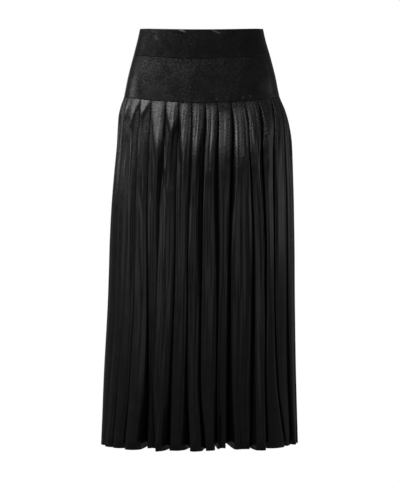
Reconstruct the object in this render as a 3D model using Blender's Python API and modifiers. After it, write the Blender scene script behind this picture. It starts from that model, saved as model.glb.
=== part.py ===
"""A high-waisted skirt: waistband, plain hip yoke and a long pleated skirt, held in its worn, hollow form.

Metres, +Z up. The front faces -Y and the wearer's left is +X. The origin is the centre of the waist
opening at the level of its side edges. Every cloth piece is a wall worked out from one surface: an oval
at each level, pushed inwards at the gap behind each pleat.
"""

import math
from collections import namedtuple

import bmesh
import bpy

# --- driving sizes ------------------------------------------------------------------------------
CLOTH = 0.0015                 # wall of every cloth piece
SEAM = 0.0005                  # space between two cloth pieces at a seam
BAND_DEPTH = 0.0556            # waistband, along the side
YOKE_END = 0.1460              # waist edge to the yoke's lower seam, along the side
HEM = 0.9020                   # waist edge to the hem
BAND_ROWS = (0.0, 0.0185, 0.037)
YOKE_ROWS = (0.078, 0.100, 0.123)
FRONT_STEPS, BACK_STEPS = 32, 16             # faces across a plain front or back piece
SHARP_ANGLE = 50

# The oval at each level. sway moves it to the wearer's left, back moves it backwards.
Level = namedtuple("Level", "drop half_width half_depth sway back")
LEVELS = [
    Level(0.000, 0.1345, 0.0950, 0.0000, 0.0000),
    Level(0.025, 0.1400, 0.0965, 0.0000, 0.0000),
    Level(0.056, 0.1487, 0.1000, 0.0005, 0.0020),
    Level(0.100, 0.1603, 0.1070, 0.0005, 0.0050),
    Level(0.146, 0.1700, 0.1145, 0.0006, 0.0090),
    Level(0.175, 0.1786, 0.1192, 0.0020, 0.0107),
    Level(0.205, 0.1834, 0.1235, 0.0031, 0.0115),
    Level(0.260, 0.1880, 0.1298, 0.0029, 0.0107),
    Level(0.400, 0.1982, 0.1400, 0.0006, 0.0055),
    Level(0.600, 0.2042, 0.1442, -0.0012, 0.0022),
    Level(0.750, 0.2098, 0.1470, -0.0036, 0.0010),
    Level(0.902, 0.2152, 0.1480, -0.0043, 0.0000),
]

# How far each level line hangs lower at centre front than at the sides.
Dip = namedtuple("Dip", "drop fall")
DIPS = [
    Dip(0.000, 0.0111),
    Dip(0.0556, 0.0177),
    Dip(0.146, 0.0213),
    Dip(0.300, 0.0150),
    Dip(0.600, 0.0050),
    Dip(0.902, 0.0000),
]
DIP_POWER = 1.5                              # how soon the line rises away from centre front

# The gaps between the front pleats, from the wearer's right to left: where each lies, in degrees from
# centre front, at five levels, how deep it is at mid length and at the hem, how far its floor slides
# under the pleat on its left (+) or right (-) for each metre of depth, how far the pleat on its left
# stands out or in at the hem, and how much wider than the others its mouth opens there, on each side.
Gap = namedtuple("Gap", "seam upper middle low hem deep_mid deep_hem slide slide_hem stand wide")
GAP_LEVELS = (0.146, 0.263, 0.481, 0.764, 0.902)
Turn = namedtuple("Turn", "drop turn")
FRONT_GAPS = [
    Gap(-74.0, -69.5, -65.0, -67.0, -72.0, 0.016, 0.020, 0.7, 0.3, 0.004, 0.000),
    Gap(-61.5, -57.0, -54.5, -56.5, -60.0, 0.004, 0.004, 0.7, 0.3, 0.004, 0.000),
    Gap(-51.0, -49.0, -46.5, -46.0, -49.0, 0.017, 0.024, 0.7, 0.2, 0.012, 0.001),
    Gap(-39.5, -39.0, -36.0, -33.0, -34.5, 0.015, 0.028, 0.6, -0.2, -0.028, 0.000),
    Gap(-27.5, -28.0, -28.5, -29.0, -26.5, 0.017, 0.020, 0.7, 0.6, 0.014, 0.000),
    Gap(-17.0, -18.0, -17.0, -18.5, -20.0, 0.018, 0.030, 0.7, 0.3, -0.008, 0.002),
    Gap(-7.5, -9.0, -9.0, -8.5, -8.0, 0.017, 0.036, 0.7, 0.3, 0.002, 0.003),
    Gap(2.0, 0.0, -0.5, -0.5, 2.0, 0.017, 0.022, 0.7, 0.3, -0.012, 0.001),
    Gap(11.0, 8.5, 9.5, 10.0, 10.5, 0.015, 0.026, 0.6, -0.1, -0.034, 0.000),
    Gap(21.0, 18.5, 17.0, 18.0, 19.0, 0.022, 0.030, 0.6, 0.0, -0.020, 0.006),
    Gap(32.5, 30.5, 32.5, 32.5, 32.0, 0.012, 0.014, 0.7, 0.2, 0.012, 0.000),
    Gap(44.5, 42.0, 43.0, 42.5, 44.0, 0.020, 0.032, 0.7, -0.4, -0.004, 0.003),
    Gap(61.0, 54.0, 51.5, 54.5, 64.0, 0.015, 0.026, 0.7, 0.3, -0.012, 0.000),
    Gap(75.0, 72.0, 69.0, 71.0, 77.0, 0.012, 0.018, 0.7, 0.3, -0.004, 0.000),
]
SIDE_GAP = (0.013, 0.020, 0.3, 0.3, 0.0, 0.0)  # deep_mid to wide of the gap at each side seam

# The back gaps are evenly set, then strayed and varied by waves along their row: each wave's size, and in
# radians its step from one gap to the next and its start.
BACK_PLEATS = 15
Wave = namedtuple("Wave", "size step start")
BACK_STRAY = Wave(3.2, 1.7, 0.0)             # degrees, growing from none at the seam
STRAY_DOWN = 0.9                             # how far that wave moves on between two of GAP_LEVELS
BACK_SWELL = Wave(1.0, 2.4, 0.6)             # the share of each swing below
BACK_DEEP_MID = (0.0144, 0.0048)             # mean and swing of the depth at mid length
BACK_DEEP_HEM = (0.0250, 0.0101)
BACK_WIDE = (0.0015, -0.0015)
BACK_SLIDE = -0.7
BACK_SLIDE_HEM = Wave(0.3, 1.0, 1.57)
BACK_STAND = Wave(0.013, 2.1, 1.0)

# How a gap grows downwards: its depth as a share of deep_mid and deep_hem, half the width of its mouth
# and of its floor, how suddenly a pleat's left and right sides turn in (2 is a round wave), and how far
# they have turned in at the mouth, as a share of the depth.
Growth = namedtuple("Growth", "drop mid hem mouth floor left right left_fall right_fall")
GROWTH = [
    Growth(0.146, 0.28, 0.00, 0.0022, 0.0016, 9.0, 8.0, 0.60, 0.60),
    Growth(0.180, 0.55, 0.00, 0.0025, 0.0017, 3.0, 2.6, 0.66, 0.66),
    Growth(0.205, 0.70, 0.00, 0.0027, 0.0018, 3.0, 2.2, 0.50, 0.56),
    Growth(0.260, 0.88, 0.00, 0.0031, 0.0018, 4.5, 2.2, 0.36, 0.54),
    Growth(0.481, 1.00, 0.00, 0.0036, 0.0020, 4.5, 3.0, 0.46, 0.54),
    Growth(0.764, 0.35, 0.65, 0.0042, 0.0022, 3.2, 3.2, 0.55, 0.55),
    Growth(0.902, 0.00, 1.00, 0.0048, 0.0024, 2.6, 2.6, 0.55, 0.55),
]

# How each pleat's crest puffs out below the yoke, from the wearer's right to left: how far, the drops at
# which it starts and is fullest, and where it is across the pleat.
Puff = namedtuple("Puff", "size start full centre")
FRONT_PUFFS = [
    Puff(0.0050, 0.146, 0.195, 0.50),
    Puff(0.0060, 0.146, 0.195, 0.50),
    Puff(0.0095, 0.146, 0.220, 0.40),
    Puff(0.0066, 0.146, 0.195, 0.45),
    Puff(0.0140, 0.146, 0.255, 0.50),
    Puff(0.0100, 0.146, 0.222, 0.50),
    Puff(0.0140, 0.152, 0.268, 0.72),
    Puff(0.0075, 0.150, 0.215, 0.45),
    Puff(0.0110, 0.150, 0.250, 0.30),
    Puff(0.0140, 0.176, 0.285, 0.48),
    Puff(0.0145, 0.160, 0.275, 0.58),
    Puff(0.0110, 0.152, 0.300, 0.26),
    Puff(0.0065, 0.150, 0.240, 0.35),
    Puff(0.0050, 0.146, 0.205, 0.40),
    Puff(0.0045, 0.146, 0.195, 0.50),
]
BACK_PUFF = Puff(0.0100, 0.146, 0.222, 0.5)  # the back pleats' mean, and the waves they vary by
BACK_PUFF_SIZE = Wave(0.0040, 2.6, 0.0)
BACK_PUFF_FULL = Wave(0.032, 2.6, 0.4)
BACK_PUFF_CENTRE = Wave(0.12, 3.1, 0.0)
CREST_NARROWS, CREST_SOFT = 0.85, 0.45       # how far a crest narrows to its point, and its soft edge
CREST_WIDENS = (0.85, 1.0)                   # from where, in parts of the puff's run, and over how much
CREST_ROUND = 3                              # how round a pleat is below that point
PUFF_SHARP = 6                               # how suddenly a puff stops growing
PUFF_LASTS = 2.2                             # how slowly it fades below its fullest
ROW_DROPS = (0.160, 0.180, 0.205, 0.235, 0.270, 0.320, 0.400, 0.510, 0.620, 0.730, 0.825)
FACE_PLACES = (0.0, 0.13, 0.30, 0.50, 0.70, 0.87, 1.0)   # points across a pleat's face
STAND_POWER = 2.2                            # how late a pleat starts to stand out or in
STAND_SIDES = 0.5                            # share of it at the pleat's two edges
HEM_LIFT = 2.5                               # times the square of how far it is set in, the hem's rise
LIFT_POWER = 6                               # how late on the way down that rise comes

# Closed zip at centre back.
SLIT = 0.0016
ZIP_WIDTH = 0.024
ZIP_TAPE = 0.0010
ZIP_TOP = 0.0170
ZIP_SHORT = 0.002                            # how far above the yoke's lower seam the tape ends
TAPE_STEPS = 4
SLIDER_DROP = 0.0105
SLIDER_SIZE = (0.0060, 0.0030, 0.0080)
NECK = 0.0010                                # thickness of the plate that reaches out through the slit
EYE_OUT = 0.0034                             # pull tab's axis, out from the cloth
EYE_RADIUS = 0.0010
EYE_WALL = 0.0008
EYE_WIDTH = 0.0012
EYE_SIDES = 16
TAB_SIZE = (0.0048, 0.0010, 0.0128)          # width, thickness, length
TAB_BAR = 0.0009                             # cross bar through the eye
TAB_WINDOW = (0.0022, 0.0034)                # the hole under the bar, width and height
TAB_ROUND = 0.0004

CLOTH_COLOUR = (0.012, 0.012, 0.014, 1.0)
METAL_COLOUR = (0.03, 0.03, 0.032, 1.0)


# --- the surface ----------------------------------------------------------------------------------
def eased(table, drop, column):
    """A column of a table at a drop, on a smooth curve through its rows."""
    rows = [(row.drop, getattr(row, column)) for row in table]
    if drop <= rows[0][0]:
        return rows[0][1]
    if drop >= rows[-1][0]:
        return rows[-1][1]
    i = max(k for k in range(len(rows) - 1) if rows[k][0] <= drop)

    def slope(k):
        low, high = max(k - 1, 0), min(k + 1, len(rows) - 1)
        return (rows[high][1] - rows[low][1]) / (rows[high][0] - rows[low][0])

    (x0, y0), (x1, y1) = rows[i], rows[i + 1]
    run = x1 - x0
    t = (drop - x0) / run
    return (
        y0 * (1 + 2 * t) * (1 - t) ** 2
        + y1 * t * t * (3 - 2 * t)
        + run * (slope(i) * t * (1 - t) ** 2 - slope(i + 1) * t * t * (1 - t))
    )


def across(drop, turn):
    """How much of the surface one degree covers there, in metres."""
    wide, deep = eased(LEVELS, drop, "half_width"), eased(LEVELS, drop, "half_depth")
    a = math.radians(turn)
    return math.radians(1) * math.hypot(wide * math.cos(a), deep * math.sin(a))


def point(drop, turn, out=0.0):
    """A point of the surface: turn in degrees from centre front, out along the oval's normal."""
    wide, deep = eased(LEVELS, drop, "half_width"), eased(LEVELS, drop, "half_depth")
    a = math.radians(turn)
    across_x, across_y = math.sin(a) * deep, -math.cos(a) * wide
    size = math.hypot(across_x, across_y)
    fall = eased(DIPS, drop, "fall") * max(0.0, math.cos(a)) ** DIP_POWER
    return (
        eased(LEVELS, drop, "sway") + wide * math.sin(a) + out * across_x / size,
        eased(LEVELS, drop, "back") - deep * math.cos(a) + out * across_y / size,
        -drop - fall,
    )


def front_gaps():
    left = Gap(*[-90.0] * 5, *SIDE_GAP)
    right = Gap(*[90.0] * 5, *SIDE_GAP)
    return [left, *FRONT_GAPS, right]


def along(wave, k, more=0.0):
    return wave.size * math.sin(wave.step * k + wave.start + more)


def back_gaps():
    """The back has the same kind of pleats."""
    gaps = [Gap(*[90.0] * 5, *SIDE_GAP)]
    lowest = len(GAP_LEVELS) - 1
    for k in range(1, BACK_PLEATS):
        even = 90 + 180 * k / BACK_PLEATS
        turns = [even + along(BACK_STRAY, k, STRAY_DOWN * j) * j / lowest for j in range(lowest + 1)]
        swell = along(BACK_SWELL, k)
        mid, hem, wide = (
            mean + swing * swell for mean, swing in (BACK_DEEP_MID, BACK_DEEP_HEM, BACK_WIDE)
        )
        slide_hem, stand = along(BACK_SLIDE_HEM, k), along(BACK_STAND, k)
        gaps.append(Gap(*turns, mid, hem, BACK_SLIDE, slide_hem, stand, wide))
    gaps.append(Gap(*[270.0] * 5, *SIDE_GAP))
    return gaps


def back_puffs():
    mean = BACK_PUFF
    return [
        Puff(
            mean.size + along(BACK_PUFF_SIZE, k),
            mean.start,
            mean.full + along(BACK_PUFF_FULL, k),
            mean.centre + along(BACK_PUFF_CENTRE, k),
        )
        for k in range(BACK_PLEATS)
    ]


def smooth_step(t):
    t = min(max(t, 0.0), 1.0)
    return t * t * (3 - 2 * t)


def puffed(puff, share, drop):
    """How far a pleat puffs out there. Its crest narrows to a point, below which the pleat is round."""
    off = abs(share - puff.centre) / max(puff.centre, 1 - puff.centre)
    below = max(drop - puff.start, 0.0) / (puff.full - puff.start)
    half = 1 - CREST_NARROWS * min(below, 1.0)
    crest = 1 - smooth_step((off - half + CREST_SOFT / 2) / CREST_SOFT)
    widened = smooth_step((below - CREST_WIDENS[0]) / CREST_WIDENS[1])
    shape = crest + (1 - min(off, 1.0) ** CREST_ROUND - crest) * widened
    grown = below / (1 + below**PUFF_SHARP) ** (1 / PUFF_SHARP)
    return puff.size * shape * grown * math.exp(-max(below - 1, 0.0) / PUFF_LASTS)


def gap_turn(gap, drop):
    """Where a gap lies at a drop, in degrees."""
    turns = (gap.seam, gap.upper, gap.middle, gap.low, gap.hem)
    return eased([Turn(*pair) for pair in zip(GAP_LEVELS, turns)], drop, "turn")


def pleated_section(gaps, puffs, drop):
    """The pleated wall's points at one level, from the first gap's middle to the last one's."""
    grown = {column: eased(GROWTH, drop, column) for column in Growth._fields[1:]}
    down = min(max((drop - YOKE_END) / (HEM - YOKE_END), 0.0), 1.0)
    stands = [gap.stand * down**STAND_POWER for gap in gaps[:-1]]
    beside = [0.0, *stands, 0.0]
    edges = []
    for k, gap in enumerate(gaps):
        turn = gap_turn(gap, drop)
        deep = grown["mid"] * gap.deep_mid + grown["hem"] * gap.deep_hem
        floor = -deep + min(0.0, beside[k], beside[k + 1])
        slide = gap.slide + (gap.slide_hem - gap.slide) * down
        mouth = grown["mouth"] + gap.wide * down**STAND_POWER
        edges.append((turn, deep, floor, slide, mouth))

    def place(turn, out, aside=0.0, puff_out=0.0):
        x, y, z = point(drop, turn + aside / degree, out + puff_out)
        return x, y, z + HEM_LIFT * min(0.0, out) ** 2 * down**LIFT_POWER

    points = []
    for left, right, stand, puff in zip(edges, edges[1:], stands, puffs):
        degree = across(drop, (left[0] + right[0]) / 2)
        first, last = left[0] + left[4] / degree, right[0] - right[4] / degree
        if not points:
            points.append(place(left[0], left[2], left[3] * left[1] + SEAM / 2))
        points.append(place(left[0], left[2], left[3] * left[1] + grown["floor"]))
        for share in FACE_PLACES:
            side, (_, deep, _, slide, _) = ("left", left) if share < 0.5 else ("right", right)
            off = abs(2 * share - 1)
            fall = grown[side + "_fall"] * deep * off ** grown[side]
            out = stand * (1 - (1 - STAND_SIDES) * off**2) - fall
            turn = first + (last - first) * share
            points.append(place(turn, out, slide * fall, puffed(puff, share, drop)))
        points.append(place(right[0], right[2], right[3] * right[1] - grown["floor"]))
    points.append(place(right[0], right[2], right[3] * right[1] - SEAM / 2))
    return points


def plain_section(drop, first, last, steps, out=0.0):
    return [point(drop, first + (last - first) * k / steps, out) for k in range(steps + 1)]


# --- making the pieces ----------------------------------------------------------------------------
def material(name, colour, roughness, metallic=0.0):
    made = bpy.data.materials.new(name)
    made.use_nodes = True
    shader = made.node_tree.nodes["Principled BSDF"]
    shader.inputs["Base Color"].default_value = colour
    shader.inputs["Roughness"].default_value = roughness
    shader.inputs["Metallic"].default_value = metallic
    return made


def add(name, mesh, finish, home):
    made = bpy.data.objects.new(name, mesh)
    made.data.materials.append(finish)
    home.objects.link(made)
    return made


def wall(name, sections, thickness, finish, home):
    """A cloth wall lofted through sections from top to bottom, its thickness added inwards."""
    shape = bmesh.new()
    rows = [[shape.verts.new(p) for p in section] for section in sections]
    for upper, lower in zip(rows, rows[1:]):
        for k in range(len(upper) - 1):
            shape.faces.new((lower[k], lower[k + 1], upper[k + 1], upper[k]))
    mesh = bpy.data.meshes.new(name)
    shape.to_mesh(mesh)
    shape.free()
    made = add(name, mesh, finish, home)
    thick = made.modifiers.new("thickness", "SOLIDIFY")
    thick.thickness = thickness
    thick.offset = -1
    thick.use_quality_normals = True
    mesh.shade_smooth()
    mesh.set_sharp_from_angle(angle=math.radians(SHARP_ANGLE))
    return made


def slit_turn(drop):
    """Half the slit at centre back, in degrees."""
    return SLIT / 2 / across(drop, 180)


def plain_pieces(home):
    """Waistband and yoke: one front piece each, and two back pieces that meet at the zip."""
    spans = (
        ("front", lambda d: (-90 + side_gap(d), 90 - side_gap(d)), FRONT_STEPS),
        ("back_left", lambda d: (90 + side_gap(d), 180 - slit_turn(d)), BACK_STEPS),
        ("back_right", lambda d: (180 + slit_turn(d), 270 - side_gap(d)), BACK_STEPS),
    )
    belts = (
        ("waistband", (*BAND_ROWS, BAND_DEPTH - SEAM / 2)),
        ("hip_yoke", (BAND_DEPTH + SEAM / 2, *YOKE_ROWS, YOKE_END - SEAM / 2)),
    )
    for belt, drops in belts:
        for side, ends, steps in spans:
            sections = [plain_section(d, *ends(d), steps) for d in drops]
            name = f"{belt}_{side}"
            wall(name, sections, CLOTH, material(name, CLOTH_COLOUR, 0.45), home)


def side_gap(drop):
    """Half the space at a side seam, in degrees."""
    return SEAM / 2 / across(drop, 90)


def pleated_pieces(home):
    drops = (YOKE_END + SEAM / 2, *ROW_DROPS, HEM)
    for name, gaps, puffs in (
        ("pleated_front", front_gaps(), FRONT_PUFFS),
        ("pleated_back", back_gaps(), back_puffs()),
    ):
        sections = [pleated_section(gaps, puffs, d) for d in drops]
        wall(name, sections, CLOTH, material(name, CLOTH_COLOUR, 0.45), home)


def box(name, size, centre, finish, home):
    bpy.ops.mesh.primitive_cube_add(size=1, location=centre)
    made = bpy.context.object
    made.name = made.data.name = name
    made.scale = size
    bpy.ops.object.transform_apply(location=False, rotation=False, scale=True)
    for old in list(made.users_collection):
        old.objects.unlink(made)
    home.objects.link(made)
    if finish:
        made.data.materials.append(finish)
    return made


def cutter(made, home):
    for old in list(made.users_collection):
        old.objects.unlink(made)
    home.objects.link(made)
    made.hide_render = True
    made.display_type = "WIRE"
    return made


def boolean(made, other, operation):
    step = made.modifiers.new(other.name, "BOOLEAN")
    step.operation = operation
    step.object = other


def zip_pieces(home, tools):
    """The closed zip: a tape behind the slit, a slider at its top, and the pull tab on the slider."""
    half = ZIP_WIDTH / 2
    inside = -(CLOTH + SEAM)
    sections = []
    for drop in (ZIP_TOP, BAND_ROWS[-1], BAND_DEPTH, *YOKE_ROWS, YOKE_END - ZIP_SHORT):
        reach = half / across(drop, 180)
        sections.append(plain_section(drop, 180 - reach, 180 + reach, TAPE_STEPS, inside))
    tape = material("zip_tape", CLOTH_COLOUR, 0.7)
    wall("zip_tape", sections, ZIP_TAPE, tape, home)

    metal = material("zip_slider", METAL_COLOUR, 0.35, 1.0)
    cloth_y = point(SLIDER_DROP, 180)[1]
    inner_y = point(SLIDER_DROP - SLIDER_SIZE[2] / 2, 180)[1] - CLOTH - SEAM
    body_centre = (0, inner_y - SLIDER_SIZE[1] / 2, -SLIDER_DROP)
    slider = box("zip_slider", SLIDER_SIZE, body_centre, metal, home)
    axis = (0, cloth_y + EYE_OUT, -SLIDER_DROP)
    neck_start = body_centre[1]
    ring = EYE_RADIUS + EYE_WALL
    neck_size = (NECK, axis[1] - neck_start, EYE_RADIUS + ring)
    neck = box("slider_neck", neck_size, (0, (axis[1] + neck_start) / 2, axis[2]), None, tools)
    for name, radius, width in (("slider_eye", ring, EYE_WIDTH), ("eye_hole", EYE_RADIUS, 2 * EYE_WIDTH)):
        bpy.ops.mesh.primitive_cylinder_add(
            vertices=EYE_SIDES,
            radius=radius,
            depth=width,
            location=axis,
            rotation=(0, math.pi / 2, 0),
        )
        bpy.context.object.name = name
        cutter(bpy.context.object, tools)
    boolean(slider, cutter(neck, tools), "UNION")
    boolean(slider, bpy.data.objects["slider_eye"], "UNION")
    boolean(slider, bpy.data.objects["eye_hole"], "DIFFERENCE")

    tab_metal = material("zip_pull_tab", METAL_COLOUR, 0.35, 1.0)
    top = TAB_BAR / 2
    centre = (0, axis[1], axis[2] + top - TAB_SIZE[2] / 2)
    tab = box("zip_pull_tab", TAB_SIZE, centre, tab_metal, home)
    rounded = tab.modifiers.new("rounded", "BEVEL")
    rounded.width = TAB_ROUND
    rounded.segments = 1
    hole_size = (TAB_WINDOW[0], 3 * TAB_SIZE[1], TAB_WINDOW[1])
    hole = box("tab_window", hole_size, (0, axis[1], axis[2] - top - TAB_WINDOW[1] / 2), None, tools)
    boolean(tab, cutter(hole, tools), "DIFFERENCE")


def main():
    for old in list(bpy.data.objects):
        bpy.data.objects.remove(old)
    home = bpy.data.collections.new("pleated_skirt")
    tools = bpy.data.collections.new("cutters")
    for made in (home, tools):
        bpy.context.scene.collection.children.link(made)
    plain_pieces(home)
    pleated_pieces(home)
    zip_pieces(home, tools)


main()
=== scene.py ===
"""The pleated skirt's looks: cloth shells folded from flat cuts, their finish, the zip, and the studio."""

import math
from collections import namedtuple

import bpy
import numpy as np
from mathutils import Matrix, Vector


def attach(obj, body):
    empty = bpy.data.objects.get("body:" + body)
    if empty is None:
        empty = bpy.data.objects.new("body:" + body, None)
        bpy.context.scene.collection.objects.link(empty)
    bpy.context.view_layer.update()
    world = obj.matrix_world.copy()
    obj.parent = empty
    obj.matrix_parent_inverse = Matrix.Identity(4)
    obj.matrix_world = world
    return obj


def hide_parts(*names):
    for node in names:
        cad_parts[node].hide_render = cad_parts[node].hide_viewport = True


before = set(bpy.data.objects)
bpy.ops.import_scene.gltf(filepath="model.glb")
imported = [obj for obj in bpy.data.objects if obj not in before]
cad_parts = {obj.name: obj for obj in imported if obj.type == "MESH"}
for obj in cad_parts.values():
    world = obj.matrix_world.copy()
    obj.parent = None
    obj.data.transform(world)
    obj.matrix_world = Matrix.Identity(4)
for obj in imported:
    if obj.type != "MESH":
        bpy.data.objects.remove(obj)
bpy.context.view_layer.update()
SKIRT = "skirt"                # the body that all the cloth and the zip's tape belong to

# --- sizes of the cut, in metres, as in the solids -----------------------------------------------
BAND_DEPTH = 0.0556
YOKE_END = 0.1460
HEM = 0.9020
CLOTH = 0.0009                 # thickness of one layer as it shows
BAND_CLOTH = 0.0020            # the waistband is folded double
SIDE_SPACE = 0.0003            # between the front and back pieces at a side seam
SLIT = 0.0007                  # between the back pieces over the zip
TUCK = 0.006                   # seam allowance that runs up behind the piece above
TUCK_IN = 0.0016               # how far in it lies
SEAM_SPACE = 0.0009            # the line that shows at a seam, below the edge of the piece above
SEAM_CLOSED = 0.8              # how nearly that line closes on the wearer's front left
SEAM_CLOSES = (-8.0, 22.0)     # from which turn, and over how many degrees
SEAM_TURN = 0.0002             # the height over which the lower piece's edge turns in

# The oval at each level. sway moves it to the wearer's left, back moves it backwards.
Level = namedtuple("Level", "drop half_width half_depth sway back")
LEVELS = [
    Level(0.000, 0.1345, 0.0950, 0.0000, 0.0000),
    Level(0.025, 0.1400, 0.0965, 0.0000, 0.0000),
    Level(0.056, 0.1487, 0.1000, 0.0005, 0.0020),
    Level(0.100, 0.1603, 0.1070, 0.0005, 0.0050),
    Level(0.146, 0.1700, 0.1145, 0.0006, 0.0090),
    Level(0.175, 0.1786, 0.1192, 0.0020, 0.0107),
    Level(0.205, 0.1834, 0.1235, 0.0031, 0.0115),
    Level(0.260, 0.1880, 0.1298, 0.0029, 0.0107),
    Level(0.400, 0.1982, 0.1400, 0.0006, 0.0055),
    Level(0.600, 0.2042, 0.1442, -0.0012, 0.0022),
    Level(0.750, 0.2098, 0.1470, -0.0036, 0.0010),
    Level(0.902, 0.2152, 0.1480, -0.0043, 0.0000),
]

# How far each level line hangs lower at centre front than at the sides.
Dip = namedtuple("Dip", "drop fall")
DIPS = [
    Dip(0.000, 0.0111),
    Dip(0.0556, 0.0177),
    Dip(0.146, 0.0213),
    Dip(0.300, 0.0150),
    Dip(0.600, 0.0050),
    Dip(0.902, 0.0000),
]
DIP_POWER = 1.5                # how soon the line rises away from centre front

# The gaps between the front pleats, from the wearer's right to left: where each lies, in degrees from
# centre front, at five levels, how deep it is at mid length and at the hem, how far its floor slides under
# the pleat on its left (+) or right (-) for each metre of depth, at the seam and at the hem, how far the
# pleat on its left stands out or in at the hem, and how much wider than the others its mouth opens there.
Gap = namedtuple("Gap", "seam upper middle low hem deep_mid deep_hem slide slide_hem stand wide")
GAP_LEVELS = (0.146, 0.263, 0.481, 0.764, 0.902)
FRONT_GAPS = [
    Gap(-74.0, -69.5, -65.0, -67.0, -72.0, 0.016, 0.020, 0.7, 0.3, 0.004, 0.000),
    Gap(-61.5, -57.0, -54.5, -56.5, -60.0, 0.004, 0.004, 0.7, 0.3, 0.004, 0.000),
    Gap(-51.0, -49.0, -46.5, -46.0, -49.0, 0.017, 0.024, 0.7, 0.2, 0.012, 0.001),
    Gap(-39.5, -39.0, -36.0, -33.0, -34.5, 0.015, 0.028, 0.6, -0.2, -0.028, 0.000),
    Gap(-27.5, -28.0, -28.5, -29.0, -26.5, 0.017, 0.020, 0.7, 0.6, 0.014, 0.000),
    Gap(-17.0, -18.0, -17.0, -18.5, -20.0, 0.018, 0.030, 0.7, 0.3, -0.008, 0.002),
    Gap(-7.5, -9.0, -9.0, -8.5, -8.0, 0.017, 0.036, 0.7, 0.3, 0.002, 0.003),
    Gap(2.0, 0.0, -0.5, -0.5, 2.0, 0.017, 0.022, 0.7, 0.3, -0.012, 0.001),
    Gap(11.0, 8.5, 9.5, 10.0, 10.5, 0.015, 0.026, 0.6, -0.1, -0.034, 0.000),
    Gap(21.0, 18.5, 17.0, 18.0, 19.0, 0.022, 0.030, 0.6, 0.0, -0.020, 0.006),
    Gap(32.5, 30.5, 32.5, 32.5, 32.0, 0.012, 0.014, 0.7, 0.2, 0.012, 0.000),
    Gap(44.5, 42.0, 43.0, 42.5, 44.0, 0.020, 0.032, 0.7, -0.4, -0.004, 0.003),
    Gap(61.0, 54.0, 51.5, 54.5, 64.0, 0.015, 0.026, 0.7, 0.3, -0.012, 0.000),
    Gap(75.0, 72.0, 69.0, 71.0, 77.0, 0.012, 0.018, 0.7, 0.3, -0.004, 0.000),
]
SIDE_GAP = (0.013, 0.020, 0.3, 0.3, 0.0, 0.0)    # the gap at a side seam, from deep_mid on

# The back's pleats. Each value swings from pleat to pleat, as a sine wave of the pleat's number: what it
# swings about and by how much, in the value's own unit, how fast, and where it starts, in radians.
Wave = namedtuple("Wave", "middle swing pace start")
BACK_PLEATS = 15
BACK_WANDER = Wave(0.0, 3.2, 1.7, 0.0)       # how far a gap lies from its even place at the hem, in degrees
BACK_WANDER_LAG = 0.9                        # how far that wave moves on from one level to the next
BACK_OPEN = Wave(0.5, 0.5, 2.4, 0.6)         # from 0, a shallow gap with a wide mouth, to 1, a deep one
BACK_DEEP = ((0.0096, 0.0096), (0.01485, 0.02025))     # deep_mid and deep_hem: at 0, and what 1 adds
BACK_WIDE = 0.003                            # wide, at 0
BACK_STAND = Wave(0.0, 0.013, 2.1, 1.0)
BACK_SLIDE = -0.7
BACK_SLIDE_HEM = Wave(0.0, 0.3, 1.0, math.pi / 2)


def on_wave(wave, k):
    return wave.middle + wave.swing * math.sin(wave.pace * k + wave.start)


# How the pleats open on the way down: a gap's depth as a share of deep_mid and deep_hem, half its mouth
# and its floor, how suddenly a pleat's left and right sides turn in (2 is a round wave), and how far they
# have turned in at the mouth, as a share of the depth.
Growth = namedtuple("Growth", "drop mid hem mouth floor left right left_fall right_fall")
GROWTH = [
    Growth(0.139, 0.05, 0.00, 0.0007, 0.0006, 20.0, 20.0, 0.50, 0.50),
    Growth(0.146, 0.08, 0.00, 0.0008, 0.0007, 9.0, 8.0, 0.60, 0.60),
    Growth(0.158, 0.22, 0.00, 0.0007, 0.0010, 5.0, 4.5, 0.55, 0.55),
    Growth(0.180, 0.40, 0.00, 0.0007, 0.0013, 4.5, 3.5, 0.50, 0.54),
    Growth(0.205, 0.52, 0.00, 0.0006, 0.0013, 4.0, 3.2, 0.44, 0.46),
    Growth(0.260, 0.72, 0.00, 0.0006, 0.0014, 4.5, 3.0, 0.30, 0.42),
    Growth(0.481, 0.95, 0.00, 0.0007, 0.0016, 6.0, 3.0, 0.24, 0.40),
    Growth(0.764, 0.35, 0.60, 0.0012, 0.0020, 5.0, 2.5, 0.24, 0.42),
    Growth(0.902, 0.00, 1.00, 0.0030, 0.0024, 4.0, 2.2, 0.30, 0.46),
]
STAND_POWER, STAND_SIDES = 2.2, 0.5          # how late a pleat's stand grows, and its share at the sides
WIDE_POWER = 4                               # how late a gap's mouth widens by its own wide
HEM_LIFT, LIFT_POWER = 2.5, 6                # how far the cloth set in is higher at the hem, and how late

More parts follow.
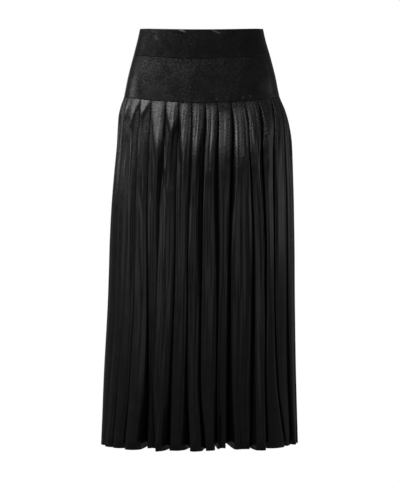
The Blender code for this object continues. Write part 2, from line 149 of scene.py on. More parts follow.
# How each pleat's crest puffs out below the seam, in front from the wearer's right to left: how far, the
# drops at which it starts and is fullest, where it is across the pleat, how much it narrows to a point,
# and how far the gaps beside it go out with it, as a share.
Puff = namedtuple("Puff", "size start full centre narrows follows")
FRONT_PUFFS = [
    Puff(0.0050, 0.146, 0.195, 0.50, 0.85, 0.40),
    Puff(0.0060, 0.146, 0.195, 0.50, 0.85, 0.20),
    Puff(0.0100, 0.146, 0.218, 0.40, 1.05, 0.05),
    Puff(0.0080, 0.146, 0.192, 0.45, 1.05, 0.05),
    Puff(0.0190, 0.146, 0.280, 0.85, 0.90, 0.05),
    Puff(0.0120, 0.146, 0.228, 0.68, 1.00, 0.15),
    Puff(0.0165, 0.150, 0.285, 0.90, 0.60, 0.40),
    Puff(0.0130, 0.150, 0.280, 0.45, 0.55, 0.50),
    Puff(0.0180, 0.154, 0.310, 0.42, 0.25, 0.60),
    Puff(0.0185, 0.168, 0.308, 0.50, 0.20, 0.60),
    Puff(0.0185, 0.162, 0.304, 0.55, 0.20, 0.60),
    Puff(0.0130, 0.152, 0.300, 0.32, 0.45, 0.50),
    Puff(0.0065, 0.150, 0.240, 0.35, 0.85, 0.50),
    Puff(0.0050, 0.146, 0.205, 0.40, 0.85, 0.40),
    Puff(0.0045, 0.146, 0.195, 0.50, 0.85, 0.40),
]
BACK_PUFF = Puff(
    size=Wave(0.0110, 0.0040, 2.6, 0.0),
    start=Wave(0.146, 0.0, 0.0, 0.0),
    full=Wave(0.230, 0.036, 2.6, 0.4),
    centre=Wave(0.50, 0.12, 3.1, 0.0),
    narrows=Wave(0.75, 0.25, 1.9, 0.0),
    follows=Wave(0.35, -0.20, 1.9, 0.0),
)
BACK_PUFFS = [Puff(*(on_wave(wave, k) for wave in BACK_PUFF)) for k in range(BACK_PLEATS)]
CREST_SOFT = 0.45                            # share of the pleat over which a crest's side falls
CREST_WIDENS = (0.90, 3.0)                   # from where, in parts of the puff's run, and over how much
PUFF_TURNS = 6                               # how suddenly a puff stops growing
PUFF_LASTS = 2.2                             # how slowly a puff fades below its fullest
PLEAT_ROUND = 3                              # how suddenly the round form below a crest falls at its sides

# Creases, listed one by one: the panel, where it is (the pleat's number and share on a pleated panel, or the
# turn in degrees on a plain one, and the drop), how far it leans from upright in degrees, how long and how
# wide it is and how far it stands out (+) or in (-), in metres.
Crease = namedtuple("Crease", "panel place drop lean long wide high")
CREASES = [
    Crease("waistband_front", -19.0, 0.0040, 68, 0.018, 0.0035, 0.0012),
    Crease("waistband_front", 10.5, 0.0040, 62, 0.012, 0.0035, 0.0012),
    Crease("waistband_front", 14.5, 0.0080, 72, 0.014, 0.0040, 0.0010),
    Crease("waistband_front", -44.0, 0.0250, 20, 0.018, 0.0090, 0.0006),
    Crease("hip_yoke_front", 62.0, 0.1000, 6, 0.040, 0.0080, 0.0010),
    Crease("hip_yoke_front", -50.0, 0.1180, 12, 0.024, 0.0080, 0.0009),
    Crease("hip_yoke_back_left", 118.0, 0.1050, 10, 0.030, 0.0080, 0.0009),
    Crease("hip_yoke_back_left", 160.0, 0.0900, 65, 0.030, 0.0110, 0.0006),
    Crease("hip_yoke_back_right", 204.0, 0.1180, 70, 0.030, 0.0100, 0.0006),
    Crease("hip_yoke_back_right", 242.0, 0.0980, 8, 0.030, 0.0080, 0.0009),
    Crease("waistband_back_left", 132.0, 0.0080, 72, 0.018, 0.0040, 0.0009),
    Crease("waistband_back_right", 214.0, 0.0120, 66, 0.018, 0.0040, 0.0009),
    Crease("hip_yoke_front", 11.0, 0.1425, 0, 0.010, 0.0060, 0.0010),
    Crease("hip_yoke_front", 19.0, 0.1415, 20, 0.012, 0.0060, 0.0010),
    Crease("hip_yoke_front", 31.5, 0.1425, -15, 0.010, 0.0060, 0.0010),
    Crease("hip_yoke_front", 38.5, 0.1410, 10, 0.012, 0.0070, 0.0011),
    Crease("hip_yoke_front", 70.0, 0.1420, 0, 0.012, 0.0060, 0.0010),
    Crease("pleated_front", 1.60, 0.190, 3, 0.080, 0.0050, 0.0014),
    Crease("pleated_front", 3.45, 0.310, 8, 0.190, 0.0050, 0.0024),
    Crease("pleated_front", 4.28, 0.284, 6, 0.160, 0.0050, 0.0024),
    Crease("pleated_front", 5.32, 0.293, 8, 0.140, 0.0050, 0.0024),
    Crease("pleated_front", 5.14, 0.350, -3, 0.070, 0.0045, 0.0016),
    Crease("pleated_front", 7.77, 0.320, 0, 0.150, 0.0050, 0.0022),
    Crease("pleated_front", 8.20, 0.220, 3, 0.110, 0.0050, 0.0013),
    Crease("pleated_front", 10.60, 0.270, -14, 0.030, 0.0070, 0.0012),
    Crease("pleated_front", 11.40, 0.270, 4, 0.180, 0.0055, 0.0022),
    Crease("pleated_front", 12.35, 0.250, 6, 0.190, 0.0050, 0.0022),
    Crease("pleated_front", 14.40, 0.303, 0, 0.140, 0.0045, 0.0012),
]

# Soft upright folds in the cloth of the pleats: each wave's height, its width across the cloth and the
# length over which it wanders, in metres, and how far it wanders, in radians.
Fold = namedtuple("Fold", "height wide long wander")
FOLDS = [
    Fold(0.00014, 0.0062, 0.34, 1.8),
    Fold(0.00030, 0.0105, 0.47, 1.8),
    Fold(0.00050, 0.0180, 0.60, 1.4),
]

# The zip's coil: where it starts and ends, how far in the tape's inner face lies, the coil's width, depth
# and pitch, the radius of its wire, the points of a turn and the faces round the wire.
COIL_TOP, COIL_END = 0.0185, 0.1430
TAPE_BACK = 0.0030
COIL_WIDE, COIL_DEEP, COIL_PITCH = 0.0032, 0.0016, 0.0014
COIL_WIRE = 0.00028
COIL_STEPS, WIRE_SIDES = 12, 6

# The shells are sampled finer than the solids. FACE_PLACES are a pleat's control points, as shares of it.
FACE_PLACES = (0.0, 0.04, 0.13, 0.30, 0.50, 0.70, 0.87, 0.96, 1.0)
FOLD_FADES = 0.16              # share of a pleat's width over which the folds fade towards its gaps
FOLD_STARTS = 0.05             # share of the pleats' length over which they grow below the seam
FOLD_AT_SIDE = 0.3             # what is left of them at the sides of the skirt
STEPS_AT_GAP, STEPS_ON_FACE = 3, 7           # columns between two control points of a pleat
WIDE_STEP = 0.12               # the share of a pleat past which two control points are far apart
BAND_ROWS, YOKE_ROWS, PLEAT_ROWS = 50, 70, 60          # below a seam's allowance and its edge's turn
FRONT_COLUMNS, BACK_COLUMNS = 281, 141       # of a plain panel
ROWS_NEAR_SEAM = 1.5           # how much closer the rows lie at the yoke seam than at the hem


# --- the surface ----------------------------------------------------------------------------------
def eased(table, drop, column):
    """A column of a table at a drop, on a smooth curve through its rows."""
    rows = [(row.drop, getattr(row, column)) for row in table]
    if drop <= rows[0][0]:
        return rows[0][1]
    if drop >= rows[-1][0]:
        return rows[-1][1]
    i = max(k for k in range(len(rows) - 1) if rows[k][0] <= drop)

    def slope(k):
        low, high = max(k - 1, 0), min(k + 1, len(rows) - 1)
        return (rows[high][1] - rows[low][1]) / (rows[high][0] - rows[low][0])

    (x0, y0), (x1, y1) = rows[i], rows[i + 1]
    run = x1 - x0
    t = (drop - x0) / run
    return (
        y0 * (1 + 2 * t) * (1 - t) ** 2
        + y1 * t * t * (3 - 2 * t)
        + run * (slope(i) * t * (1 - t) ** 2 - slope(i + 1) * t * t * (1 - t))
    )


def smooth_step(t):
    t = np.clip(t, 0.0, 1.0)
    return t * t * (3 - 2 * t)


def share_down(drop):
    """How far down the pleats a drop is, from 0 at the yoke seam to 1 at the hem."""
    return min(max((drop - YOKE_END) / (HEM - YOKE_END), 0.0), 1.0)


def run_of(row):
    """How far along the cloth each point of a row is."""
    return np.concatenate([[0], np.cumsum(np.linalg.norm(np.diff(row, axis=0), axis=1))])


class Ring:
    """The oval at one level."""

    def __init__(self, drop):
        self.drop = drop
        self.wide, self.deep, self.sway, self.back = (
            eased(LEVELS, drop, column) for column in Level._fields[1:]
        )
        self.fall = eased(DIPS, drop, "fall")

    def degree(self, turn):
        """Metres across one degree."""
        a = np.radians(turn)
        return math.radians(1) * np.hypot(self.wide * np.cos(a), self.deep * np.sin(a))

    def points(self, turn, out):
        """Points at these turns, in degrees from centre front, and this far out."""
        a, out = np.radians(turn), np.asarray(out, float)
        normal_x, normal_y = np.sin(a) * self.deep, -np.cos(a) * self.wide
        size = np.hypot(normal_x, normal_y)
        return np.stack(
            [
                self.sway + self.wide * np.sin(a) + out * normal_x / size,
                self.back - self.deep * np.cos(a) + out * normal_y / size,
                -self.drop - self.fall * np.maximum(0.0, np.cos(a)) ** DIP_POWER + 0 * out,
            ],
            axis=-1,
        )


def front_gaps():
    left, right = (Gap(*[side] * 5, *SIDE_GAP) for side in (-90.0, 90.0))
    return [left, *FRONT_GAPS, right]


def back_gaps():
    first, last = (Gap(*[side] * 5, *SIDE_GAP) for side in (90.0, 270.0))
    gaps = [first]
    levels = len(GAP_LEVELS) - 1
    for k in range(1, BACK_PLEATS):
        even = 90 + 180 * k / BACK_PLEATS
        places = [
            even + on_wave(BACK_WANDER._replace(start=BACK_WANDER_LAG * level), k) * level / levels
            for level in range(levels + 1)
        ]
        opened = on_wave(BACK_OPEN, k)
        mid, hem = (least + more * opened for least, more in BACK_DEEP)
        slide_hem, stand = on_wave(BACK_SLIDE_HEM, k), on_wave(BACK_STAND, k)
        gaps.append(Gap(*places, mid, hem, BACK_SLIDE, slide_hem, stand, BACK_WIDE * (1 - opened)))
    return [*gaps, last]


Place = namedtuple("Place", "drop turn")


def gap_turn(gap, drop):
    places = (gap.seam, gap.upper, gap.middle, gap.low, gap.hem)
    return eased([Place(d, t) for d, t in zip(GAP_LEVELS, places)], drop, "turn")


Edge = namedtuple("Edge", "turn deep floor slide mouth")


def gap_edges(gaps, drop, grown, stands):
    """The gaps at one level, as the pleats' edges. Half the mouth is stated, and the floor as metres out."""
    down = share_down(drop)
    beside = [0.0, *stands, 0.0]
    edges = []
    for k, gap in enumerate(gaps):
        deep = grown["mid"] * gap.deep_mid + grown["hem"] * gap.deep_hem
        floor = -deep + min(0.0, beside[k], beside[k + 1])
        slide = gap.slide + (gap.slide_hem - gap.slide) * down
        mouth = grown["mouth"] + gap.wide * down**WIDE_POWER
        edges.append(Edge(gap_turn(gap, drop), deep, floor, slide, mouth))
    return edges


def pleat_polygon(gaps, ring):
    """The pleats' control points at one level: turn, metres out, and the pleat's number and share across."""
    grown = {column: eased(GROWTH, ring.drop, column) for column in Growth._fields[1:]}
    stands = [gap.stand * share_down(ring.drop) ** STAND_POWER for gap in gaps[:-1]]
    edges = gap_edges(gaps, ring.drop, grown, stands)
    found = []

    def place(turn, out, where, aside):
        found.append((turn + aside / degree, out, where))

    for k, (left, right, stand) in enumerate(zip(edges, edges[1:], stands)):
        degree = ring.degree((left.turn + right.turn) / 2)
        first, last = left.turn + left.mouth / degree, right.turn - right.mouth / degree
        if not found:
            place(left.turn, left.floor, k, left.slide * left.deep + SIDE_SPACE / 2)
        place(left.turn, left.floor, k, left.slide * left.deep + grown["floor"])
        for share in FACE_PLACES:
            side, edge = ("left", left) if share < 0.5 else ("right", right)
            off = abs(2 * share - 1)
            fall = grown[side + "_fall"] * edge.deep * off ** grown[side]
            out = stand * (1 - (1 - STAND_SIDES) * off**2) - fall
            place(first + (last - first) * share, out, k + share, edge.slide * fall)
        place(right.turn, right.floor, k + 1, right.slide * right.deep - grown["floor"])
    place(right.turn, right.floor, k + 1, right.slide * right.deep - SIDE_SPACE / 2)
    return np.array(found)


def rounded(polygon):
    """A uniform cubic B-spline along a polygon, with more points where the polygon's are far apart."""
    ends = np.vstack([2 * polygon[0] - polygon[1], polygon, 2 * polygon[-1] - polygon[-2]])
    sides = []
    for k, across in enumerate(np.diff(polygon[:, 2])):
        steps = STEPS_ON_FACE if across > WIDE_STEP else STEPS_AT_GAP
        t = np.arange(steps)[:, None] / steps
        weights = ((1 - t) ** 3, 3 * t**3 - 6 * t**2 + 4, -3 * t**3 + 3 * t**2 + 3 * t + 1, t**3)
        sides.append(sum(w * ends[k + j] for j, w in enumerate(weights)) / 6)
    return np.vstack([*sides, polygon[-1:]])


def tucked(drop, seam):
    """How far in the allowance at a seam lies: nothing below SEAM_SPACE, TUCK_IN right above."""
    return TUCK_IN * min(max((seam + SEAM_SPACE - drop) / SEAM_TURN, 0.0), 1.0)


def creased(panel, across, drop):
    """How far the listed creases stand out. across(place) is how far each point of a row is from that
    place, in metres."""
    out = 0.0
    for c in CREASES:
        if c.panel == panel:
            lean = math.radians(c.lean)
            aside, down = across(c.place), drop - c.drop
            along = down * math.cos(lean) + aside * math.sin(lean)
            beside = aside * math.cos(lean) - down * math.sin(lean)
            out = out + c.high * np.exp(-((along / c.long * 2) ** 2) - (beside / c.wide * 2) ** 2)
    return out


def puffed(puffs, where, drop):
    """How far the pleats' crests puff out there. A crest narrows to a point, below which the pleat is
    round, and the gap between two pleats goes part of the way out with them."""
    size, start, full, centre, narrows, follows = np.array(puffs).T
    below = np.maximum(drop - start, 0.0) / (full - start)
    grown = size * below / (1 + below**PUFF_TURNS) ** (1 / PUFF_TURNS)
    grown = grown * np.exp(-np.maximum(below - 1, 0) / PUFF_LASTS)
    going = follows * grown
    at_gaps = np.concatenate([[0], np.minimum(going[1:], going[:-1]), [0]])
    carried = np.interp(where, np.arange(len(at_gaps)), at_gaps)
    pleat = np.clip(where.astype(int), 0, len(puffs) - 1)
    grown, below, centre = grown[pleat], below[pleat], centre[pleat]
    off = np.abs(where - pleat - centre) / np.maximum(centre, 1 - centre)
    half = 1 - narrows[pleat] * np.minimum(below, 1.0)
    crest = 1 - smooth_step((off - half + CREST_SOFT / 2) / CREST_SOFT)
    widened = smooth_step((below - CREST_WIDENS[0]) / CREST_WIDENS[1])
    shape = crest + (1 - np.minimum(off, 1.0) ** PLEAT_ROUND - crest) * widened
    return carried + (grown - carried) * shape


def pleated_points(panel, gaps, puffs, drops):
    """The rows of points of a pleated panel, one for each drop. Its folds follow the cloth's columns, as
    they lie at the middle level."""
    rows = []
    middle_ring = Ring(GAP_LEVELS[2])
    turn, out, _ = rounded(pleat_polygon(gaps, middle_ring)).T
    cloth = run_of(middle_ring.points(turn, out))
    phases = np.random.default_rng(len(gaps)).uniform(0, 2 * math.pi, (len(FOLDS), 2))
    for drop in drops:
        ring = Ring(drop)
        down = share_down(drop)
        turn, out, where = rounded(pleat_polygon(gaps, ring)).T
        fold = sum(
            f.height
            * np.sin(
                cloth * 2 * math.pi / f.wide
                + f.wander * math.sin(drop * 2 * math.pi / f.long + up)
                + on
            )
            for f, (on, up) in zip(FOLDS, phases)
        )
        share = where % 1.0
        on_face = smooth_step(np.minimum(share, 1 - share) / FOLD_FADES)
        on_face = on_face * min(down / FOLD_STARTS, 1.0)
        on_face = on_face * np.maximum(np.abs(np.cos(np.radians(turn))), FOLD_AT_SIDE)
        set_in = np.minimum(0.0, out)
        pleat_width = ring.degree(turn) * 180 / (len(gaps) - 1)
        crease = creased(panel, lambda place: (where - place) * pleat_width, drop)
        out = out + puffed(puffs, where, drop) + fold * on_face + crease - tucked(drop, YOKE_END)
        row = ring.points(turn, out)
        row[:, 2] += HEM_LIFT * set_in**2 * down**LIFT_POWER
        rows.append(row)
    return np.array(rows)


def plain_points(panel, drops, ends, columns, top_seam):
    """A plain panel between two side edges, which ends(ring) gives in degrees."""
    rows = []
    for drop in drops:
        ring = Ring(drop)
        turn = np.linspace(*ends(ring), columns)
        out = creased(panel, lambda place: (turn - place) * ring.degree(turn), drop)
        if top_seam:
            closed = smooth_step((turn - SEAM_CLOSES[0]) / SEAM_CLOSES[1]) * (turn < 90)
            out = out - tucked(drop, top_seam) * (1 - SEAM_CLOSED * closed)
        rows.append(ring.points(turn, out))
    return np.array(rows)


# --- making cloth ---------------------------------------------------------------------------------
def developed(rows):
    """How wide the cloth of each row is when it lies flat."""
    return np.linalg.norm(np.diff(rows, axis=1), axis=2).sum(axis=1)


def folded(name, rows):
    """A flat grid, folded to these rows of points, with the row and column of each of its vertices."""
    bpy.ops.object.select_all(action="DESELECT")
    down, along = rows.shape[:2]
    bpy.ops.mesh.primitive_grid_add(x_subdivisions=along - 1, y_subdivisions=down - 1, size=1)
    made = bpy.context.object
    made.name = made.data.name = name
    mesh = made.data
    flat = np.empty(len(mesh.vertices) * 3)
    mesh.vertices.foreach_get("co", flat)
    flat = flat.reshape(-1, 3)
    column = np.rint((flat[:, 0] + 0.5) * (along - 1)).astype(int)
    row = np.rint((0.5 - flat[:, 1]) * (down - 1)).astype(int)
    mesh.vertices.foreach_set("co", rows[row, column].astype(np.float32).ravel())
    return made, row, column


def folded_sheet(name, rows, thickness=CLOTH):
    """Cloth folded to these rows of points and thickened inwards. Its UV map "cut" is the flat cut, and
    "along" keeps each column upright."""
    made, row, column = folded(name, rows)
    mesh, down = made.data, len(rows)
    steps = np.linalg.norm(np.diff(rows, axis=1), axis=2)
    width = np.concatenate([np.zeros((down, 1)), np.cumsum(steps, axis=1)], axis=1)
    width -= width[:, -1:] / 2
    step_down = np.linalg.norm(np.diff(rows, axis=0), axis=2).mean(axis=1)
    length = np.concatenate([[0], np.cumsum(step_down)])
    corner = np.empty(len(mesh.loops), np.int32)
    mesh.loops.foreach_get("vertex_index", corner)
    while mesh.uv_layers:
        mesh.uv_layers.remove(mesh.uv_layers[0])
    for map_name, aside in (("cut", width[row, column]), ("along", width.mean(axis=0)[column])):
        places = np.stack([aside, -length[row]], axis=-1)
        layer = mesh.uv_layers.new(name=map_name)
        layer.data.foreach_set("uv", places[corner].astype(np.float32).ravel())

    bpy.ops.object.mode_set(mode="EDIT")
    bpy.ops.mesh.select_all(action="SELECT")
    bpy.ops.mesh.normals_make_consistent(inside=False)
    bpy.ops.object.mode_set(mode="OBJECT")
    outward = np.array(mesh.polygons[len(mesh.polygons) // 2].normal)
    middle = np.array(mesh.polygons[len(mesh.polygons) // 2].center)
    if outward[:2] @ middle[:2] < 0:
        mesh.flip_normals()
    thick = made.modifiers.new("thickness", "SOLIDIFY")
    thick.thickness = thickness
    thick.offset = -1
    bpy.ops.object.modifier_apply(modifier=thick.name)
    bpy.ops.object.shade_smooth()
    return made


# --- shader nodes as expressions ------------------------------------------------------------------
class Nodes:
    """One material's nodes."""

    def __init__(self, name):
        self.made = bpy.data.materials.new(name)
        self.made.use_nodes = True
        self.tree = self.made.node_tree
        self.tree.nodes.clear()

    def node(self, kind, settings=None, inputs=None, output=0):
        """A node of that kind, its settings set first, then its inputs. Returns the wrapped output."""
        node = self.tree.nodes.new(kind)
        for key, value in (settings or {}).items():
            setattr(node, key, value)
        for key, value in (inputs or {}).items():
            socket = node.inputs[key]
            if isinstance(value, Flow):
                self.tree.links.new(value.socket, socket)
            else:
                socket.default_value = value
        return Flow(self, node.outputs[output]) if node.outputs else None

    def shader(self, kind="ShaderNodeBsdfPrincipled", **inputs):
        named = {key.replace("_", " "): value for key, value in inputs.items()}
        surface = self.node(kind, inputs=named)
        self.node("ShaderNodeOutputMaterial", inputs={"Surface": surface})
        return self.made


class Flow:
    """One output socket, with arithmetic."""

    def __init__(self, nodes, socket):
        self.nodes, self.socket = nodes, socket

    def maths(self, operation, *values, clamp=False):
        settings = {"operation": operation, "use_clamp": clamp}
        return self.nodes.node("ShaderNodeMath", settings, dict(enumerate(values)))

    def __add__(self, other):
        return self.maths("ADD", self, other)

    def __sub__(self, other):
        return self.maths("SUBTRACT", self, other)

    def __rsub__(self, other):
        return self.maths("SUBTRACT", other, self)

    def __mul__(self, other):
        return self.maths("MULTIPLY", self, other)

    __radd__, __rmul__ = __add__, __mul__

    def clamped(self):
        return self.maths("ADD", self, 0.0, clamp=True)


def stretched(nodes, coordinates, scale):
    return nodes.node("ShaderNodeMapping", inputs={"Vector": coordinates, "Scale": scale})


def noise(nodes, coordinates, grain):
    named = {"Scale": grain.scale, "Detail": grain.detail, "Roughness": grain.roughness}
    return nodes.node("ShaderNodeTexNoise", inputs={"Vector": coordinates, **named})


def mixed(nodes, factor, low, high):
    """A colour between two, by a value that changes over the surface."""
    inputs = {"Factor": factor, "A": low, "B": high}
    return nodes.node("ShaderNodeMix", {"data_type": "RGBA"}, inputs, MIXED_COLOUR)


# Noise on a finish, its scale in parts a metre.
Grain = namedtuple("Grain", "scale detail roughness")
DIMPLES = Grain(210.0, 3.0, 0.72)
BLOTS = Grain(210.0, 2.0, 0.60)
PATCHES = Grain(34.0, 2.0, 0.55)
UPRIGHT = Grain(260.0, 3.0, 0.60)
WORN = Grain(900.0, 3.0, 0.50)
DIMPLE_STRETCH = (1.0, 0.85, 1.0)
UPRIGHT_STRETCH = (1.0, 0.02, 1.0)
CLOTH_RELIEF = 0.002           # metres of bump for a height of 1
DIMPLES_LEFT = 0.1             # of the dimples, where the cloth is pulled flat
PATCH_DULLS = 0.24             # roughness between the dullest and the shiniest patch
CLOTH_DARK, CLOTH_LIGHT = (0.005, 0.005, 0.005, 1), (0.010, 0.010, 0.0102, 1)
TAPE_COLOUR, TAPE_ROUGH = (0.006, 0.006, 0.007, 1), 0.8
TAPE_RIBS, TAPE_RELIEF = 900.0, 0.0002
LACQUER_DARK, LACQUER_WORN = (0.008, 0.008, 0.009, 1), (0.03, 0.03, 0.032, 1)
LACQUER_ROUGH, WORN_ROUGH, LACQUER_COAT = 0.2, 0.25, 0.4
OBJECT_PLACE = 3               # the Texture Coordinate node's output for Object
MIXED_COLOUR = 2               # the Mix node's output for a colour
WAVE_VALUE = 1                 # the Wave Texture node's output for its value


def cloth_finish(name, *, hammered, blotted, lines, rough, shine, fades=None):
    """Black hammered satin: how strongly its dimples, its dull and shiny spots and its fine upright lines
    show, how rough it is, how much it shines, and over how many metres from its top edge the dimples grow
    from nearly flat."""
    nodes = Nodes(name)
    cut = nodes.node("ShaderNodeUVMap", {"uv_map": "cut"})
    along = nodes.node("ShaderNodeUVMap", {"uv_map": "along"})
    dimples = noise(nodes, stretched(nodes, cut, DIMPLE_STRETCH), DIMPLES)
    blots = noise(nodes, cut, BLOTS)
    if fades:
        down = nodes.node("ShaderNodeSeparateXYZ", inputs={"Vector": along}, output=1)
        left = DIMPLES_LEFT + (down * (1 / fades) + 1.0).clamped()
        hammered, blotted = hammered * left, blotted * left
    patches = noise(nodes, cut, PATCHES)
    upright = noise(nodes, stretched(nodes, along, UPRIGHT_STRETCH), UPRIGHT)
    height = dimples * hammered + upright * lines
    relief = {"Height": height, "Strength": 1.0, "Distance": CLOTH_RELIEF}
    return nodes.shader(
        Base_Color=mixed(nodes, patches, CLOTH_DARK, CLOTH_LIGHT),
        Roughness=rough + blotted * (blots - 0.5) + PATCH_DULLS * (patches - 0.5),
        Normal=nodes.node("ShaderNodeBump", inputs=relief),
        Specular_IOR_Level=shine,
    )


def tape_finish():
    nodes = Nodes("zip_tape_weave")
    place = nodes.node("ShaderNodeTexCoord", output=OBJECT_PLACE)
    weave = {"Vector": place, "Scale": TAPE_RIBS, "Distortion": 1.0, "Detail": 1.0}
    ribs = nodes.node("ShaderNodeTexWave", {"bands_direction": "Z"}, weave, WAVE_VALUE)
    normal = nodes.node("ShaderNodeBump", inputs={"Height": ribs, "Distance": TAPE_RELIEF})
    return nodes.shader(Base_Color=TAPE_COLOUR, Roughness=TAPE_ROUGH, Normal=normal)


def lacquer_finish():
    nodes = Nodes("zip_lacquer")
    worn = noise(nodes, nodes.node("ShaderNodeTexCoord", output=OBJECT_PLACE), WORN)
    return nodes.shader(
        Base_Color=mixed(nodes, worn, LACQUER_DARK, LACQUER_WORN),
        Roughness=LACQUER_ROUGH + WORN_ROUGH * worn,
        Metallic=0.0,
        Coat_Weight=LACQUER_COAT,
    )


# --- the garment ----------------------------------------------------------------------------------
def side_edge(ring):
    return SIDE_SPACE / 2 / ring.degree(90)


def slit_edge(ring):
    return SLIT / 2 / ring.degree(180)


# The plain panels of a belt: between which turns each lies on a ring, and its columns.
PANELS = {
    "front": (lambda r: (-90 + side_edge(r), 90 - side_edge(r)), FRONT_COLUMNS),
    "back_left": (lambda r: (90 + side_edge(r), 180 - slit_edge(r)), BACK_COLUMNS),
    "back_right": (lambda r: (180 + slit_edge(r), 270 - side_edge(r)), BACK_COLUMNS),
}


def dress(made, node, finish):
    made.data.materials.clear()
    made.data.materials.append(finish)
    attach(made, SKIRT)
    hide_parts(node)


def flat_size(rows, drops):
    """The flat cut's width, length and area."""
    widths = developed(rows)
    tall = float(np.linalg.norm(np.diff(rows, axis=0), axis=2).sum(axis=0).mean())
    mean_width = float(np.trapz(widths, drops) / (drops[-1] - drops[0]))
    return (float(widths.max()), tall), mean_width * tall


def below_seam(seam, bottom, count, power=1.0):
    """Drops for a piece that starts behind the one above: its allowance, its edge's turn, and the rest."""
    edge = seam + SEAM_SPACE
    rest = edge + (bottom - edge) * np.linspace(0, 1, count) ** power
    return np.concatenate([[seam - TUCK, edge - SEAM_TURN, edge, edge + SEAM_TURN / 2], rest[1:]])


def plain_panels():
    band = cloth_finish(
        "hammered_satin_band", hammered=0.10, blotted=0.38, lines=0.02, rough=0.21, shine=0.34
    )
    yoke = cloth_finish(
        "hammered_satin_yoke", hammered=0.17, blotted=0.46, lines=0.02, rough=0.235, shine=0.45
    )
    belts = (
        ("waistband", np.linspace(0.0, BAND_DEPTH, BAND_ROWS), None, BAND_CLOTH, band),
        ("hip_yoke", below_seam(BAND_DEPTH, YOKE_END, YOKE_ROWS), BAND_DEPTH, CLOTH, yoke),
    )
    for belt, drops, top_seam, thickness, finish in belts:
        for side, (ends, columns) in PANELS.items():
            node = f"{belt}_{side}"
            rows = plain_points(node, drops, ends, columns, top_seam)
            made = folded_sheet(f"{node}_cloth", rows, thickness)
            flat, area = flat_size(rows, drops)
            dress(made, node, finish)


def pleated_panels():
    finish = cloth_finish(
        "hammered_satin_pleated",
        hammered=0.34,
        blotted=0.50,
        lines=0.14,
        rough=0.22,
        shine=0.55,
        fades=0.20,
    )
    drops = below_seam(YOKE_END, HEM, PLEAT_ROWS, ROWS_NEAR_SEAM)
    back_yoke = ["hip_yoke_back_left_cloth", "hip_yoke_back_right_cloth"]
    for side, gaps, puffs, above in (
        ("front", front_gaps(), FRONT_PUFFS, ["hip_yoke_front_cloth"]),
        ("back", back_gaps(), BACK_PUFFS, back_yoke),
    ):
        rows = pleated_points(f"pleated_{side}", gaps, puffs, drops)
        made = folded_sheet(f"pleated_{side}_cloth", rows)
        flat, area = flat_size(rows, drops)
        dress(made, f"pleated_{side}", finish)


def zip_coil():
    """The coil on the inner face of the closed zip's tape: a wire wound round the middle of the tape."""
    turns = (COIL_END - COIL_TOP) / COIL_PITCH
    wound = np.linspace(0, 2 * math.pi * turns, round(turns * COIL_STEPS) + 1)
    path, middle = [], []
    for angle in wound:
        ring = Ring(COIL_TOP + COIL_PITCH * angle / (2 * math.pi))
        centre = -TAPE_BACK - COIL_WIRE - COIL_DEEP / 2
        aside = COIL_WIDE / 2 * math.cos(angle) / ring.degree(180)
        path.append(ring.points(180 + aside, centre + COIL_DEEP / 2 * math.sin(angle)))
        middle.append(ring.points(180, centre))
    path = np.array(path)
    forward = np.gradient(path, axis=0)
    outward = path - np.array(middle)
    across = np.cross(forward, outward)
    outward = np.cross(across, forward)
    across, outward = (v / np.linalg.norm(v, axis=1, keepdims=True) for v in (across, outward))
    around = np.linspace(0, 2 * math.pi, WIRE_SIDES + 1)[:, None, None]
    wire = COIL_WIRE * (np.cos(around) * outward + np.sin(around) * across)
    made, _, _ = folded("zip_coil", path + wire)
    bpy.ops.object.mode_set(mode="EDIT")
    bpy.ops.mesh.select_all(action="SELECT")
    bpy.ops.mesh.remove_doubles(threshold=COIL_WIRE / 100)
    bpy.ops.mesh.normals_make_consistent(inside=False)
    bpy.ops.object.mode_set(mode="OBJECT")
    bpy.ops.object.shade_smooth()
    made.data.materials.clear()
    made.data.materials.append(lacquer_finish())
    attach(made, SKIRT)


def zip_pieces():
    zip_coil()
    for node, finish in (
        ("zip_tape", tape_finish()),
        ("zip_slider", lacquer_finish()),
        ("zip_pull_tab", lacquer_finish()),
    ):
        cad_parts[node].data.materials.clear()
        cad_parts[node].data.materials.append(finish)


# --- studio ---------------------------------------------------------------------------------------
VIEW_DISTANCE = 3.75
VIEW_HEIGHT = -0.46
VIEW_ASIDE = -0.0033
PHOTO_TALL_PX = 481
PX_PER_METRE = 458.7           # of the photograph, at the skirt's middle
SENSOR = 36
WHITE = (1, 1, 1, 1)
FLOOR = -1.12
FLOOR_RADIUS, FLOOR_SIDES = 9, 96
ROOM_LIGHT = 0.085             # how strongly the pale room itself lights the skirt
LIT_POINT = (0, 0, -0.25)
LAMP_DISTANCE = 2.4

# Soft lamps, all turned to LIT_POINT: where each stands, in degrees from the front towards the wearer's
# left and above level, its width and height in metres, and its watts.
Lamp = namedtuple("Lamp", "name azimuth elevation size power")
LAMPS = [
    Lamp("high_left", -52, 43, (3.2, 0.95), 50),
    Lamp("high_right", 30, 43, (1.8, 0.9), 9),
    Lamp("side_left", -92, 37, (2.6, 0.9), 7.5),
    Lamp("streak_left", -106, 13, (0.7, 0.4), 1.6),
    Lamp("streak_right", 106, 12, (0.6, 0.4), 0.2),
    Lamp("low_left", -62, 5, (1.6, 0.85), 2.1),
    Lamp("low_front", 16, -3, (1.8, 0.9), 1.4),
    Lamp("low_right", 96, 4, (2.0, 0.8), 1.8),
    Lamp("high_back", 180, 42, (2.0, 0.95), 16),
    Lamp("low_back", -172, 6, (1.4, 0.85), 2.0),
]


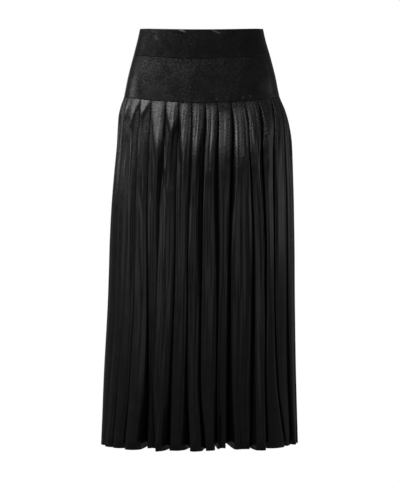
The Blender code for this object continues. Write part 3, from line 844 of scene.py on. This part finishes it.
def add_camera():
    data = bpy.data.cameras.new("camera")
    data.sensor_width = SENSOR
    data.lens = PX_PER_METRE * VIEW_DISTANCE / PHOTO_TALL_PX * SENSOR
    camera = bpy.data.objects.new("camera", data)
    camera.location = (VIEW_ASIDE, -VIEW_DISTANCE, VIEW_HEIGHT)
    camera.rotation_euler = (math.pi / 2, 0, 0)
    bpy.context.scene.collection.objects.link(camera)
    bpy.context.scene.camera = camera


def add_floor():
    bpy.ops.object.select_all(action="DESELECT")
    bpy.ops.mesh.primitive_circle_add(
        vertices=FLOOR_SIDES, radius=FLOOR_RADIUS, fill_type="NGON", location=(0, 0, FLOOR)
    )
    floor = bpy.context.object
    floor.name = "floor"
    paint = Nodes("floor_paint").shader("ShaderNodeEmission", Color=WHITE, Strength=1.0)
    floor.data.materials.append(paint)
    floor.visible_glossy = floor.visible_diffuse = False


def add_room():
    """A white room as the camera sees it, which lights the skirt only a little."""
    world = bpy.data.worlds.new("studio")
    bpy.context.scene.world = world
    world.use_nodes = True
    tree = world.node_tree
    tree.nodes.clear()
    ray = tree.nodes.new("ShaderNodeLightPath")
    seen, cast = (tree.nodes.new("ShaderNodeBackground") for _ in range(2))
    seen.inputs["Color"].default_value = WHITE
    cast.inputs["Color"].default_value = WHITE
    cast.inputs["Strength"].default_value = ROOM_LIGHT
    mix = tree.nodes.new("ShaderNodeMixShader")
    out = tree.nodes.new("ShaderNodeOutputWorld")
    tree.links.new(ray.outputs["Is Camera Ray"], mix.inputs[0])
    tree.links.new(cast.outputs[0], mix.inputs[1])
    tree.links.new(seen.outputs[0], mix.inputs[2])
    tree.links.new(mix.outputs[0], out.inputs[0])
    bpy.context.scene.view_settings.view_transform = "Standard"


def add_lamps():
    for lamp in LAMPS:
        data = bpy.data.lights.new(lamp.name, "AREA")
        data.shape = "RECTANGLE"
        data.size, data.size_y = lamp.size
        data.energy = lamp.power
        made = bpy.data.objects.new(lamp.name, data)
        a, e = math.radians(lamp.azimuth), math.radians(lamp.elevation)
        back = Vector((math.sin(a) * math.cos(e), -math.cos(a) * math.cos(e), math.sin(e)))
        made.location = Vector(LIT_POINT) + back * LAMP_DISTANCE
        made.rotation_euler = back.to_track_quat("Z", "Y").to_euler()
        bpy.context.scene.collection.objects.link(made)


plain_panels()
pleated_panels()
zip_pieces()
add_camera()
add_floor()
add_room()
add_lamps()
